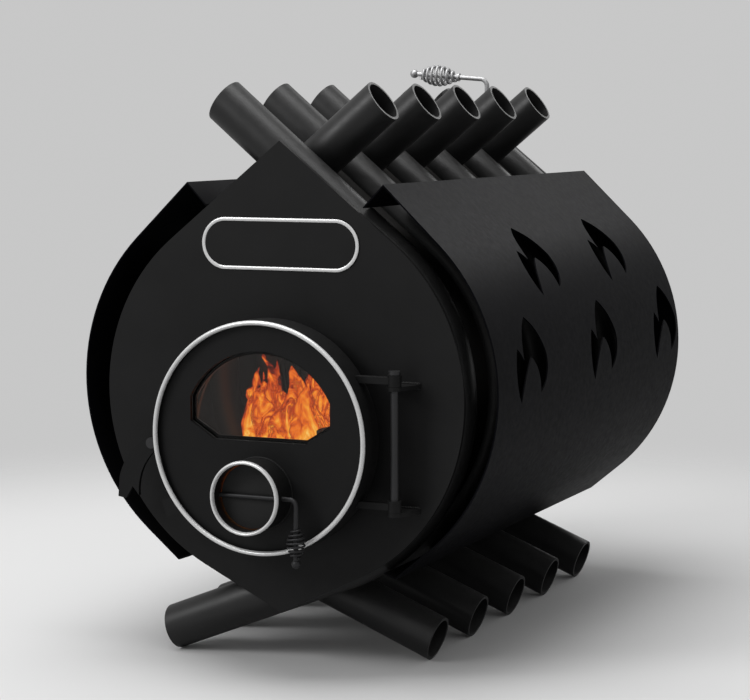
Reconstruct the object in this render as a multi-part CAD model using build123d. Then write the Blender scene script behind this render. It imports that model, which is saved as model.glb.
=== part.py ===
from build123d import *
import os
from math import cos, pi, radians, sin, sqrt, tan

# A convection wood stove: a welded firebox wrapped by bent air tubes, in a cylindrical casing.
# X points right, Y points to the back and Z up, in mm. Z is 0 on the floor and X is 0 on the centre plane.
# Y is counted from the front plate's face until the end, where the whole stove moves back to its own middle.

# Driving dimensions of the body
centre_height = 340.0       # centre of the plates' round belly above the floor
plate_r = 245.0
plate_thick = 6.0
plate_top_slope = 39.0      # degrees, of the straight edges up to the peak
plate_bottom_slope = 26.0
skin_thick = 4.0
weld_gap = 0.2              # between pieces that a weld joins
cut_spare = 1.0             # a cutter's reach past what it cuts

# Air tubes
tube_count = 11
tube_pitch = 70.0
tube_r = 28.5
tube_wall = 3.5
bend_r = 229.5              # centreline radius of the bend
bend_shift = 12.0           # bend centre beyond the centre plane, on the side that the ends point to
bend_drop = 2.0             # bend centre under the plates' centre
top_slope = 39.8
top_run = 296.5
bottom_slope = 22.0
end_tilt = 4.0              # degrees, end cuts flatter than square

# Casing
casing_r = 252.0
casing_thick = 2.0
casing_shift = 33.5
casing_rise = 10.0
casing_inset = 4.0          # from the plates' inner faces
casing_top_slope = 44.0
casing_top_run = 102.0
casing_bottom_slope = 40.0
casing_bottom_run = 57.0
casing_lip_slope = 20.0     # degrees, of the lower closing lip
casing_close_gap = 1.5      # from the last tube to the sheet that closes the casing's back
flame_height = 104.0
flame_width = 112.0
flame_pitch = 282.0
flame_set_back = 28.0       # the row's middle behind the casing's middle
flame_low_angle = 8.4       # degrees round the casing's centre
flame_high_angle = 36.9
flame_cut_depth = 30.0

# Door
door_drop = 45.0            # door centre under the plates' centre
mouth_r = 118.0
collar_r = 126.0
collar_wall = 5.0
collar_length = 40.7
rope_r = 5.0
rope_gap = 0.3
channel_wall = 2.0
door_thick = 5.0
band_r = 144.3
band_wall = 4.0
band_depth = 40.0
trim_width = 7.0
trim_depth = 4.0
disc_recess = 10.0          # door disc behind the bright ring's front
fit_gap = 0.2

# Window
window_r = 106.0
window_half_width = 95.0
window_floor_half = 62.0
window_floor = -4.5         # heights from the door's centre
window_corner = 16.5
glass_margin = 4.0
frame_margin = 9.5
glass_thick = 4.0
window_seal_thick = 1.5
window_frame_thick = 3.0
window_screw_r = 1.5
window_screw_head_r = 3.0
window_screw_head = 2.0
window_screw_bite = 3.0
window_screw_angle = 60.0   # degrees, of the two screws on the arch
window_screw_low = 50.0     # the two screws under the floor, from the centre plane

# Air inlet
air_drop = 68.0             # inlet centre under the door's centre
air_r = 44.0
air_wall = 3.0
air_proud = 40.0            # pipe in front of the door disc
air_rim_r = 45.8
air_rim_width = 5.0
air_rim_depth = 5.0
throttle_clear = 1.0
throttle_thick = 1.5
throttle_depth = 14.0       # throttle shaft behind the pipe's front end
shaft_r = 3.0
bore_clear = 0.06
air_shaft_end = 62.0
air_shaft_tail = 48.0
air_bend_r = 8.0
air_handle_drop = 78.0
air_coil_length = 34.0
air_coil_r = 10.6
air_coil_wire_r = 1.25
air_coil_turns = 7
air_knob_r = 5.5
coil_gap = 0.3              # coil ends to the rod inside them

# Hinge
hinge_out = 169.5           # pin from the centre plane
hinge_proud = 35.0          # pin in front of the front plate
hinge_half_span = 76.0
pin_r = 5.0
knuckle_r = 8.5
knuckle_height = 14.0
ear_thick = 5.0
ear_half_width = 20.0
ear_gap = 0.3
arm_height = 8.0
arm_depth = 13.0
pin_head_r = 7.5
pin_head_height = 4.5

# Latch
latch_out = 158.0
latch_drop = 17.0           # pivot under the door's centre
latch_thick = 5.0
latch_back = 38.0           # blade's rear face in front of the front plate
latch_hub_r = 10.0
latch_bolt_r = 4.0
latch_bolt_head_r = 7.0
latch_bolt_head = 4.0
latch_gap = 0.3
latch_neck = (-32.0, -14.0)         # the lever's outline, counted from its pivot
latch_shoulder = (-48.0, -46.0)
latch_grip_out = (-50.0, -71.0)
latch_grip_in = (-39.0, -73.0)
latch_crook = (-29.0, -57.0)
latch_tip = (-20.0, -68.0)
latch_belly = (-14.0, -33.0)
latch_heel = (8.0, -6.0)
lug_thick = 7.0
keeper_thick = 4.0
keeper_gap = 1.0
keeper_r = 94.0             # keeper's far side from the latch's pivot
keeper_reach = 22.0
keeper_width = 20.0
keeper_angle = 70.0         # degrees under level, seen from the pivot

# Flue and damper
flue_rise = 130.0           # flue centre above the plates' centre
flue_r = 60.0
flue_step = 1.0             # the pipe's inner length is this much slimmer
flue_wall = 2.0
flue_out = 60.0
damper_clear = 3.0
damper_thick = 2.0
damper_shaft_r = 3.5
damper_shaft_tail = 8.0
damper_bush_r = 6.0
damper_bush_height = 26.0
damper_top = 399.5          # handle's rod above the plates' centre
damper_bend_r = 10.0
damper_reach = 119.0
damper_coil_start = 48.0
damper_coil_length = 54.0
damper_coil_r = 14.2
damper_coil_wire_r = 2.2
damper_coil_turns = 7
damper_knob_r = 6.5
damper_tilt = 4.5           # degrees, the handle's rise towards its knob
clamp_screw_r = 1.5

# Baffle and plaque
baffle_rise = 110.0
baffle_thick = 5.0
baffle_front = 90.0
baffle_length = 500.0
plaque_rise = 188.0
plaque_width = 215.0
plaque_height = 64.6
plaque_thick = 1.2
plaque_line = 6.5
plaque_line_proud = 1.0

# Places worked out from the sizes
bend_z = centre_height - bend_drop
door_z = centre_height - door_drop
air_z = door_z - air_drop
flue_z = centre_height + flue_rise
tube_y = [plate_thick + weld_gap + tube_r + tube_pitch * i for i in range(tube_count)]
rear_y = tube_y[-1] + tube_r + weld_gap
trim_front = -(collar_length + rope_gap + 2 * rope_r + channel_wall + door_thick + disc_recess)
disc_front = trim_front + disc_recess
disc_back = disc_front + door_thick
air_front = disc_front - air_proud
throttle_y = air_front + throttle_depth
damper_y = (tube_y[-2] + tube_y[-1]) / 2
damper_z = centre_height + damper_top
flue_back = rear_y + plate_thick + flue_out
front_end = air_front - air_rim_depth
mid_y = (front_end + flue_back) / 2

parts = {}


def slab(face, y0, y1):
    """A flat shape drawn in X and Z, made solid from y0 back to y1."""
    return extrude(Plane.XZ.offset(-y1) * face, amount=y1 - y0)


def disc(r, y0, y1, z, x=0.0, hole=0.0):
    """A round plate or ring across Y."""
    face = Circle(r)
    if hole:
        face = face - Circle(hole)
    return slab(Pos(x, z) * face, y0, y1)


def rod(start, end, r):
    """A round bar between two points."""
    direction = Vector(*end) - Vector(*start)
    return extrude(Plane(origin=start, z_dir=direction) * Circle(r), amount=direction.length)


def teardrop_half(r, shift, z, slope_up, slope_down):
    """The left half of a round belly with straight tangents that meet the centre plane above and below."""
    up = radians(slope_up)
    down = radians(slope_down)
    high = (shift - r * sin(up), z + r * cos(up))
    low = (shift - r * sin(down), z - r * cos(down))
    peak = (0, high[1] - high[0] * tan(up))
    foot = (0, low[1] + low[0] * tan(down))
    outline = [Line(foot, low), ThreePointArc(low, (shift - r, z), high), Line(high, peak), Line(peak, foot)]
    return make_face(outline)


def mirrored(solid):
    return mirror(solid, about=Plane.YZ)


# Front and rear plates: one outline, with the door's mouth in front and the flue's hole behind
plate_half = teardrop_half(plate_r, 0, centre_height, plate_top_slope, plate_bottom_slope)
plate_face = plate_half + mirror(plate_half, about=Plane.YZ)
front_plate = slab(plate_face, 0, plate_thick)
parts["front_plate"] = front_plate - disc(mouth_r, -cut_spare, plate_thick + cut_spare, door_z)
rear_plate = slab(plate_face, rear_y, rear_y + plate_thick)
flue_hole_r = flue_r - flue_step + fit_gap
flue_hole = disc(flue_hole_r, rear_y - cut_spare, rear_y + plate_thick + cut_spare, flue_z)
parts["rear_plate"] = rear_plate - flue_hole


# Air tubes: each wraps one side, runs up across the centre plane at the top and down across it to the floor
def tube_points(radial=0.0):
    """The left tube's two tangent points and two run directions, in X and Z."""
    up = radians(top_slope)
    down = radians(bottom_slope)
    r = bend_r + radial
    high = Vector(bend_shift - r * sin(up), 0, bend_z + r * cos(up))
    low = Vector(bend_shift - r * sin(down), 0, bend_z - r * cos(down))
    return high, low, Vector(cos(up), 0, sin(up)), Vector(cos(down), 0, -sin(down))


high_point, low_point, up_run, down_run = tube_points()
rim_drop = tube_r * (cos(radians(bottom_slope)) + tan(radians(end_tilt)) * sin(radians(bottom_slope)))
bottom_run = (low_point.Z - rim_drop) / sin(radians(bottom_slope))
top_end = high_point + up_run * top_run
bottom_end = low_point + down_run * bottom_run
run_spare = tube_r


def bent_tube():
    path_start = top_end + up_run * run_spare
    path_end = bottom_end + down_run * run_spare
    middle = Vector(bend_shift - bend_r, 0, bend_z)
    path = Wire([Line(path_start, high_point).edge(), ThreePointArc(high_point, middle, low_point).edge(),
                 Line(low_point, path_end).edge()])
    section = Plane(origin=path_start, z_dir=-up_run) * (Circle(tube_r) - Circle(tube_r - tube_wall))
    tube = sweep(section, path=path)
    top_normal = up_run.rotate(Axis.Y, end_tilt)
    bottom_normal = down_run.rotate(Axis.Y, -end_tilt)
    tube = split(tube, Plane(origin=top_end, z_dir=top_normal), keep=Keep.BOTTOM)
    return split(tube, Plane(origin=bottom_end, z_dir=bottom_normal), keep=Keep.BOTTOM)


left_bend = bent_tube()
right_bend = mirrored(left_bend)
for index, y in enumerate(tube_y):
    wraps_right = index % 2 == 0
    side = "right" if wraps_right else "left"
    parts[f"air_tube_{index + 1:02d}_{side}"] = Pos(0, y, 0) * (right_bend if wraps_right else left_bend)


# Firebox skin: curved strips between the tubes of one side, notched round the tubes that cross them
def skin_half():
    outer = teardrop_half(bend_r + skin_thick / 2, bend_shift, bend_z, top_slope, bottom_slope)
    inner = teardrop_half(bend_r - skin_thick / 2, bend_shift, bend_z, top_slope, bottom_slope)
    return outer - inner


left_skin = skin_half()
damper_hole_r = damper_bush_r + weld_gap


def crossing_runs(y, wraps_right):
    """The straight runs of the tube at y, a weld gap fatter, as cutters."""
    flip = -1 if wraps_right else 1
    runs = []
    for start, end in ((high_point, top_end), (low_point, bottom_end)):
        runs.append(rod((flip * start.X, y, start.Z), (flip * end.X, y, end.Z), tube_r + weld_gap))
    return runs


def skin_strip(y0, y1, on_right):
    strip = slab(left_skin, y0, y1)
    strip = mirrored(strip) if on_right else strip
    for index, y in enumerate(tube_y):
        crosses = (index % 2 == 0) != on_right
        if crosses and y0 < y + tube_r and y1 > y - tube_r:
            for run in crossing_runs(y, not on_right):
                strip = strip - run
    if y0 < damper_y < y1:
        strip = strip - rod((0, damper_y, centre_height), (0, damper_y, damper_z), damper_hole_r)
    return max(strip.solids(), key=lambda piece: piece.volume)


for on_right in (False, True):
    side = "right" if on_right else "left"
    own = [y for index, y in enumerate(tube_y) if (index % 2 == 0) == on_right]
    edges = [plate_thick] + [y + sign * (tube_r + weld_gap) for y in own for sign in (-1, 1)] + [rear_y]
    spans = [(a, b) for a, b in zip(edges[::2], edges[1::2]) if b - a > skin_thick]
    for number, (y0, y1) in enumerate(spans, 1):
        parts[f"skin_strip_{side}_{number}"] = skin_strip(y0, y1, on_right)


# Casings: a curved sheet each side, with lips folded in at both ends that carry it on the tubes
# A crescent of sheet closes its back towards the last tube
def casing_half():
    """The left sheet's middle line from its top lip's foot to its bottom lip's foot."""
    up = radians(casing_top_slope)
    down = radians(casing_bottom_slope)
    lip = radians(casing_lip_slope)
    z = centre_height + casing_rise
    r = casing_r - casing_thick / 2
    bend_centre = Vector(bend_shift, bend_z)
    tube_reach = bend_r + tube_r + weld_gap
    high = Vector(-casing_shift - r * sin(up), z + r * cos(up))
    top = high + Vector(cos(up), sin(up)) * casing_top_run
    tube_normal = Vector(-sin(radians(top_slope)), cos(radians(top_slope)))
    top_lip = Vector(sin(up), -cos(up))
    stand_off = (top - bend_centre).dot(tube_normal) - tube_reach
    top_foot = top + top_lip * ((stand_off - casing_thick / 2) / cos(up - radians(top_slope)))
    low = Vector(-casing_shift - r * sin(down), z - r * cos(down))
    bottom = low + Vector(cos(down), -sin(down)) * casing_bottom_run
    bottom_lip = Vector(cos(lip), sin(lip))
    offset_from_bend = bottom - bend_centre
    along = offset_from_bend.dot(bottom_lip)
    tube_clear = tube_reach + casing_thick / 2
    square_root = sqrt(along**2 - offset_from_bend.dot(offset_from_bend) + tube_clear**2)
    bottom_foot = bottom - bottom_lip * (along + square_root)
    lines = [Line(top_foot, top), Line(top, high), ThreePointArc(high, (-casing_shift - r, z), low),
             Line(low, bottom), Line(bottom, bottom_foot)]
    return lines, Line(bottom_foot, top_foot), z


casing_lines, casing_chord, casing_z = casing_half()
casing_path = Wire([line.edge() for line in casing_lines])
casing_face = make_face(casing_path.offset_2d(casing_thick / 2, kind=Kind.INTERSECTION))
casing_front = plate_thick + casing_inset
casing_back = rear_y - casing_inset
close_y = casing_back - casing_thick
last_tube_half = sqrt(tube_r**2 - (close_y - tube_y[-1])**2)
close_r = bend_r + last_tube_half + casing_close_gap
close_face = make_face(casing_lines + [casing_chord])
close_face = close_face - teardrop_half(close_r, bend_shift, bend_z, top_slope, bottom_slope)


def flame_outline():
    """A tall tongue of flame with a low one beside it, forked below, drawn upright about its own middle."""
    w = flame_width / 2
    h = flame_height / 2
    left_foot = (-0.72 * w, -h)
    low_tip = (-0.8 * w, 0.3 * h)
    crook = (-0.48 * w, 0)
    tip = (0.05 * w, h)
    shoulder = (0.95 * w, 0.05 * h)
    right_foot = (0.5 * w, -0.88 * h)
    fork = (0, 0.02 * h)
    return make_face([ThreePointArc(left_foot, (-w, -0.4 * h), low_tip),
                      ThreePointArc(low_tip, (-0.63 * w, 0.17 * h), crook),
                      ThreePointArc(crook, (-0.37 * w, 0.56 * h), tip),
                      ThreePointArc(tip, (0.6 * w, 0.58 * h), shoulder),
                      ThreePointArc(shoulder, (0.9 * w, -0.5 * h), right_foot),
                      ThreePointArc(right_foot, (0.38 * w, -0.38 * h), fork),
                      ThreePointArc(fork, (-0.44 * w, -0.42 * h), left_foot)])


def flame_cutter(y, angle):
    turn = radians(angle)
    outward = Vector(cos(turn), 0, sin(turn))
    origin = Vector(casing_shift, y, casing_z) + outward * (casing_r - flame_cut_depth)
    lying = Plane(origin=origin, x_dir=(0, 1, 0), z_dir=outward) * flame_outline()
    return extrude(lying, amount=2 * flame_cut_depth)


left_sheet = slab(casing_face, casing_front, casing_back)
right_casing = mirrored(left_sheet + slab(close_face, close_y, casing_back))
flame_y = (casing_front + casing_back) / 2 + flame_set_back
for step in (-1, 0, 1):
    right_casing = right_casing - flame_cutter(flame_y + step * flame_pitch, flame_low_angle)
for step in (-0.5, 0.5):
    right_casing = right_casing - flame_cutter(flame_y + step * flame_pitch, flame_high_angle)
parts["casing_right"] = right_casing
parts["casing_left"] = mirrored(right_casing)


# Bare name plate: a thin stadium with a bright raised border
def stadium(inset, y0, y1):
    face = SlotOverall(plaque_width - 2 * inset, plaque_height - 2 * inset)
    return slab(Pos(0, centre_height + plaque_rise) * face, y0, y1)


border_front = -plaque_thick - plaque_line_proud
parts["name_plate"] = stadium(0, -plaque_thick, 0)
border = stadium(0, border_front, -plaque_thick)
parts["name_plate_border"] = border - stadium(plaque_line, border_front, -plaque_thick)


# Door: collar on the front plate, and a pan of disc, band and bright ring with a rope seal that presses on it
parts["door_collar"] = disc(collar_r, -collar_length, 0, door_z, hole=collar_r - collar_wall)
band_bore = band_r - band_wall
trim_back = trim_front + trim_depth
parts["door_band"] = disc(band_r, trim_back, trim_back + band_depth, door_z, hole=band_bore)
parts["door_trim_ring"] = disc(band_r, trim_front, trim_back, door_z, hole=band_r - trim_width)
rope_ring_r = collar_r - collar_wall / 2
rope_y = -collar_length - rope_gap - rope_r
rope_circle = Plane(origin=(rope_ring_r, rope_y, door_z), z_dir=(0, 0, 1)) * Circle(rope_r)
parts["door_rope_seal"] = revolve(rope_circle, axis=Axis((0, 0, door_z), (0, 1, 0)), revolution_arc=360)
channel_in = rope_ring_r - rope_r - rope_gap
channel_out = rope_ring_r + rope_r + rope_gap
channel_back = rope_y + rope_r / 2
channel = disc(channel_out + channel_wall, disc_back, channel_back, door_z, hole=channel_in - channel_wall)
channel_floor = disc_back + channel_wall
parts["rope_channel"] = channel - disc(channel_out, channel_floor, channel_back, door_z, hole=channel_in)


# Window: an arch in the door disc with a glass pane, a flat seal and a frame screwed on from behind
def window_face(grow=0.0):
    half = window_half_width + grow
    r = window_r + grow
    floor_half = window_floor_half + grow * 0.5
    shoulder = sqrt(r**2 - half**2)
    floor = window_floor - grow
    corner = window_corner - grow * 0.5
    right = [Line((floor_half, floor), (half, corner)), Line((half, corner), (half, shoulder))]
    arch = ThreePointArc((half, shoulder), (0, r), (-half, shoulder))
    left = [Line((-half, shoulder), (-half, corner)), Line((-half, corner), (-floor_half, floor))]
    sill = Line((-floor_half, floor), (floor_half, floor))
    return Pos(0, door_z) * make_face(right + [arch] + left + [sill])


door_disc = disc(band_bore - fit_gap, disc_front, disc_back, door_z)
door_disc = door_disc - slab(window_face(), disc_front - cut_spare, disc_back + cut_spare)
door_disc = door_disc - disc(air_r + fit_gap, disc_front - cut_spare, disc_back + cut_spare, air_z)
seal_back = disc_back + window_seal_thick
glass_back = seal_back + glass_thick
frame_back = glass_back + window_frame_thick
parts["window_seal"] = slab(window_face(glass_margin) - window_face(), disc_back, seal_back)
parts["window_glass"] = slab(window_face(glass_margin), seal_back, glass_back)
window_frame = slab(window_face(frame_margin) - window_face(-glass_margin), glass_back, frame_back)
screw_margin = (glass_margin + frame_margin) / 2
screw_side = window_half_width + screw_margin
screw_ring = window_r + screw_margin
arch_turn = radians(window_screw_angle)
screw_places = [(side * screw_ring * cos(arch_turn), screw_ring * sin(arch_turn)) for side in (-1, 1)]
screw_places += [(side * screw_side, window_corner + 2 * window_screw_head_r) for side in (-1, 1)]
screw_places += [(side * window_screw_low, window_floor - screw_margin) for side in (-1, 1)]
screws = []
for x, z in screw_places:
    shank = disc(window_screw_r, disc_back - window_screw_bite, frame_back, door_z + z, x)
    hole = disc(window_screw_r + bore_clear, disc_back - window_screw_bite, frame_back, door_z + z, x)
    head = disc(window_screw_head_r, frame_back, frame_back + window_screw_head, door_z + z, x)
    screws.append(shank + head)
    door_disc = door_disc - hole
    window_frame = window_frame - hole
parts["door_disc"] = door_disc
parts["window_frame"] = window_frame
parts["window_screws"] = Compound(children=screws)


# Air inlet: a pipe through the door disc with a bright rim and a throttle that turns on a level shaft
air_bore = air_r - air_wall
parts["air_rim"] = disc(air_rim_r, front_end, air_front, air_z, hole=air_rim_r - air_rim_width)
shaft_hole = rod((-air_rim_r, throttle_y, air_z), (air_rim_r, throttle_y, air_z), shaft_r + bore_clear)
parts["air_pipe"] = disc(air_r, air_front, disc_back, air_z, hole=air_bore) - shaft_hole
throttle_y0 = throttle_y + shaft_r
throttle_disc = disc(air_bore - throttle_clear, throttle_y0, throttle_y0 + throttle_thick, air_z)


def bent_handle(start, corner, end, r, bend):
    """A round bar that turns one corner with a smooth bend."""
    into = (Vector(*corner) - Vector(*start)).normalized()
    out = (Vector(*end) - Vector(*corner)).normalized()
    bend_start = Vector(*corner) - into * bend
    bend_end = Vector(*corner) + out * bend
    path = Wire([Line(start, bend_start).edge(), TangentArc(bend_start, bend_end, tangent=into).edge(),
                 Line(bend_end, end).edge()])
    return sweep(Plane(origin=start, z_dir=into) * Circle(r), path=path)


def coil(length, end_r, mid_r, turns, wire_r):
    """A lemon-shaped coil along Z as quarter-turn biarcs, with a straight tail at each end."""
    steps = turns * 4
    spin = 2 * pi * turns

    def point(t):
        r = end_r + (mid_r - end_r) * sin(pi * t)
        return Vector(r * cos(spin * t), r * sin(spin * t), length * t)

    def heading(t):
        r = end_r + (mid_r - end_r) * sin(pi * t)
        growth = (mid_r - end_r) * pi * cos(pi * t)
        c, s = cos(spin * t), sin(spin * t)
        return Vector(growth * c - r * spin * s, growth * s + r * spin * c, length).normalized()

    tail = 2 * wire_r
    first = point(0) - heading(0) * tail
    edges = [Line(first, point(0)).edge()]
    for step in range(steps):
        p0, p1 = point(step / steps), point((step + 1) / steps)
        h0, h1 = heading(step / steps), heading((step + 1) / steps)
        chord = p1 - p0
        a = 2 * (1 - h0.dot(h1))
        b = 2 * chord.dot(h0 + h1)
        arm = (sqrt(b * b + 4 * a * chord.dot(chord)) - b) / (2 * a)
        q0 = p0 + h0 * arm
        q1 = p1 - h1 * arm
        middle = (q0 + q1) * 0.5
        edges.append(TangentArc(p0, middle, tangent=h0).edge())
        edges.append(TangentArc(middle, p1, tangent=(q1 - q0).normalized()).edge())
    edges.append(Line(point(1), point(1) + heading(1) * tail).edge())
    per_turn = 48
    samples = [point(n / (per_turn * turns)) for n in range(per_turn * turns + 1)]
    apart = [(p - q).length for n, p in enumerate(samples) for q in samples[n + per_turn // 2:]]
    gap = min(apart) - 2 * wire_r
    print(f"coil of {turns} turns: least gap to itself {gap:.2f} mm")
    return sweep(Plane(origin=first, z_dir=heading(0)) * Circle(wire_r), path=Wire(edges))


def screwed(shaft, plate, y0, y1, places):
    """Cut the holes of two clamp screws in a shaft and its plate, and make the screws."""
    made = []
    for x, z in places:
        made.append(disc(clamp_screw_r, y0, y1, z, x) + disc(2 * clamp_screw_r, y1, y1 + clamp_screw_r, z, x))
        hole = disc(clamp_screw_r + bore_clear, y0, y1, z, x)
        shaft = shaft - hole
        plate = plate - hole
    return shaft, plate, Compound(children=made)


air_handle_z = air_z - air_handle_drop
throttle_end = (air_shaft_end, throttle_y, air_handle_z)
throttle_start = (-air_shaft_tail, throttle_y, air_z)
throttle_corner = (air_shaft_end, throttle_y, air_z)
throttle_shaft = bent_handle(throttle_start, throttle_corner, throttle_end, shaft_r, air_bend_r)
throttle_shaft = throttle_shaft + Pos(*throttle_end) * Sphere(air_knob_r)
throttle_places = [(side * air_bore / 2, air_z) for side in (-1, 1)]
throttle_back = throttle_y0 + throttle_thick
throttle_seat = throttle_y - shaft_r / 2
throttle_parts = screwed(throttle_shaft, throttle_disc, throttle_seat, throttle_back, throttle_places)
parts["throttle_shaft"], parts["throttle_disc"], parts["throttle_screws"] = throttle_parts
air_coil_foot = air_handle_z + air_knob_r + air_coil_wire_r * 2
air_coil_end_r = shaft_r + coil_gap + air_coil_wire_r
air_coil = coil(air_coil_length, air_coil_end_r, air_coil_r, air_coil_turns, air_coil_wire_r)
parts["throttle_handle_coil"] = Pos(air_shaft_end, throttle_y, air_coil_foot) * air_coil


# Hinge: two arms with knuckles on the door, dropped on a long pin that two ears on the front plate hold
def at_hinge(r, z0, z1):
    return rod((hinge_out, -hinge_proud, z0), (hinge_out, -hinge_proud, z1), r)


for name, sign in (("upper", 1), ("lower", -1)):
    z = door_z + sign * hinge_half_span
    knuckle = at_hinge(knuckle_r, z - knuckle_height / 2, z + knuckle_height / 2)
    arm = Pos(hinge_out / 2, -hinge_proud, z) * Box(hinge_out, arm_depth, arm_height)
    arm = arm - disc(band_r + fit_gap, -2 * hinge_proud, hinge_proud, door_z)
    pin_bore = at_hinge(pin_r + bore_clear, z - knuckle_height, z + knuckle_height)
    parts[f"hinge_arm_{name}"] = arm + knuckle - pin_bore
    ear_top = z - knuckle_height / 2 - ear_gap
    tip_right = (hinge_out + knuckle_r, -hinge_proud)
    tip_left = (hinge_out - knuckle_r, -hinge_proud)
    root_right = (hinge_out + ear_half_width, 0)
    root_left = (hinge_out - ear_half_width, 0)
    ear_face = make_face([Line(root_left, root_right), Line(root_right, tip_right),
                          ThreePointArc(tip_right, (hinge_out, -hinge_proud - knuckle_r), tip_left),
                          Line(tip_left, root_left)])
    ear = extrude(Plane.XY.offset(ear_top - ear_thick) * ear_face, amount=ear_thick)
    parts[f"hinge_ear_{name}"] = ear - pin_bore
pin_foot = door_z - hinge_half_span - knuckle_height / 2 - ear_gap - ear_thick
pin_top = door_z + hinge_half_span + knuckle_height / 2 + ear_gap
pin_head = at_hinge(pin_head_r, pin_top, pin_top + pin_head_height)
parts["hinge_pin"] = at_hinge(pin_r, pin_foot, pin_top) + pin_head


# Latch: a sickle lever on a bolt in a lug of the band, and a keeper on the front plate that it turns behind
latch_z = door_z - latch_drop
latch_front = -latch_back - latch_thick
lug_front = -latch_back + latch_gap
latch_crown = (0, latch_hub_r)
lever_outline = [ThreePointArc(latch_crown, latch_neck, latch_shoulder),
                 Line(latch_shoulder, latch_grip_out), Line(latch_grip_out, latch_grip_in),
                 Line(latch_grip_in, latch_crook), Line(latch_crook, latch_tip),
                 ThreePointArc(latch_tip, latch_belly, latch_heel),
                 ThreePointArc(latch_heel, (latch_heel[0], -latch_heel[1]), latch_crown)]
lever = slab(Pos(-latch_out, latch_z) * make_face(lever_outline), latch_front, -latch_back)


def at_latch(r, y0, y1):
    return disc(r, y0, y1, latch_z, -latch_out)


bolt_bore = at_latch(latch_bolt_r + bore_clear, latch_front, 0)
parts["latch_lever"] = lever - bolt_bore
lug_face = Pos(-latch_out / 2, latch_z) * Rectangle(latch_out, 2 * latch_hub_r)
lug = slab(lug_face, lug_front, lug_front + lug_thick)
lug = lug - disc(band_r + fit_gap, lug_front, lug_front + lug_thick, door_z)
lug = lug + at_latch(latch_hub_r, lug_front, lug_front + lug_thick)
parts["latch_lug"] = max((lug - bolt_bore).solids(), key=lambda piece: -piece.center().X)
bolt_head = at_latch(latch_bolt_head_r, latch_front - latch_gap - latch_bolt_head, latch_front - latch_gap)
parts["latch_bolt"] = bolt_head + at_latch(latch_bolt_r, latch_front - latch_gap, lug_front + lug_thick)
keeper_face = Rectangle(keeper_reach, keeper_width)
keeper_turn = Pos(-latch_out, latch_z) * Rot(0, 0, -keeper_angle)
keeper_front = latch_front - keeper_gap - keeper_thick
lip_face = keeper_turn * Pos(keeper_r - keeper_reach / 2, 0) * keeper_face
lip = slab(lip_face, keeper_front, keeper_front + keeper_thick)
leg_face = keeper_turn * Pos(keeper_r - keeper_thick / 2, 0) * Rectangle(keeper_thick, keeper_width)
leg = slab(leg_face, keeper_front, 0)
parts["latch_keeper"] = lip + leg


# Flue and damper: a pipe through the rear plate, with a disc on an upright shaft that leaves through the roof
flue_bore = flue_r - flue_step - flue_wall
damper_r = flue_bore - damper_clear
flue_front = damper_y - damper_r - 2 * damper_clear
flue_pipe = disc(flue_r - flue_step, flue_front, rear_y + plate_thick, flue_z)
flue_pipe = flue_pipe + disc(flue_r, rear_y + plate_thick, flue_back, flue_z)
flue_pipe = flue_pipe - disc(flue_bore, flue_front, flue_back, flue_z)
damper_foot = flue_z - flue_r - damper_shaft_tail
damper_bore = rod((0, damper_y, damper_foot), (0, damper_y, damper_z), damper_shaft_r + bore_clear)
parts["flue_pipe"] = flue_pipe - damper_bore
roof_peak = high_point.Z - high_point.X * tan(radians(top_slope))
bush_top = roof_peak + damper_bush_height / 2
bush = rod((0, damper_y, roof_peak - damper_bush_height / 2), (0, damper_y, bush_top), damper_bush_r)
parts["damper_bush"] = bush - damper_bore
damper_way = Vector(-cos(radians(damper_tilt)), 0, sin(radians(damper_tilt)))


def along_handle(reach):
    """A point on the damper's handle, counted from its corner."""
    return Vector(0, damper_y, damper_z) + damper_way * reach


damper_knob = along_handle(damper_reach)
damper_start = (0, damper_y, damper_foot)
damper_corner = (0, damper_y, damper_z)
damper_shaft = bent_handle(damper_start, damper_corner, tuple(damper_knob), damper_shaft_r, damper_bend_r)
stop_base = bush_top + coil_gap
stop_top = stop_base + damper_bush_r
damper_shaft = damper_shaft + rod((0, damper_y, stop_base), (0, damper_y, stop_top), damper_bush_r)
coil_stop_start = along_handle(damper_coil_start - damper_shaft_r)
coil_stop = rod(tuple(coil_stop_start), tuple(along_handle(damper_coil_start)), damper_bush_r)
damper_shaft = damper_shaft + coil_stop + Pos(*damper_knob) * Sphere(damper_knob_r)
damper_y0 = damper_y + damper_shaft_r
damper_disc = disc(damper_r, damper_y0, damper_y0 + damper_thick, flue_z)
damper_places = [(0, flue_z + side * damper_r / 2) for side in (-1, 1)]
damper_seat = damper_y - damper_shaft_r / 2
damper_back = damper_y0 + damper_thick
damper_parts = screwed(damper_shaft, damper_disc, damper_seat, damper_back, damper_places)
parts["damper_shaft"], parts["damper_disc"], parts["damper_screws"] = damper_parts
damper_coil = coil(damper_coil_length, damper_shaft_r + coil_gap + damper_coil_wire_r, damper_coil_r,
                   damper_coil_turns, damper_coil_wire_r)
coil_foot = along_handle(damper_coil_start + coil_gap + 2 * damper_coil_wire_r)
parts["damper_handle_coil"] = Plane(origin=coil_foot, z_dir=damper_way) * damper_coil


# Baffle: a level plate that the smoke goes round, resting between the tubes' inner bends
baffle_z = centre_height + baffle_rise
tube_inside = bend_r - tube_r - weld_gap
baffle_half = sqrt(tube_inside**2 - (baffle_z + baffle_thick - bend_z)**2) - bend_shift
parts["smoke_baffle"] = Pos(0, baffle_front + baffle_length / 2, baffle_z + baffle_thick / 2) * Box(
    2 * baffle_half, baffle_length, baffle_thick)


# Every piece moves forward so that Y is 0 at the stove's own middle, and is written to its own file
os.makedirs("parts", exist_ok=True)
for name, piece in parts.items():
    piece = Pos(0, -mid_y, 0) * piece
    export_step(piece, f"parts/{name}.step")
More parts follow.
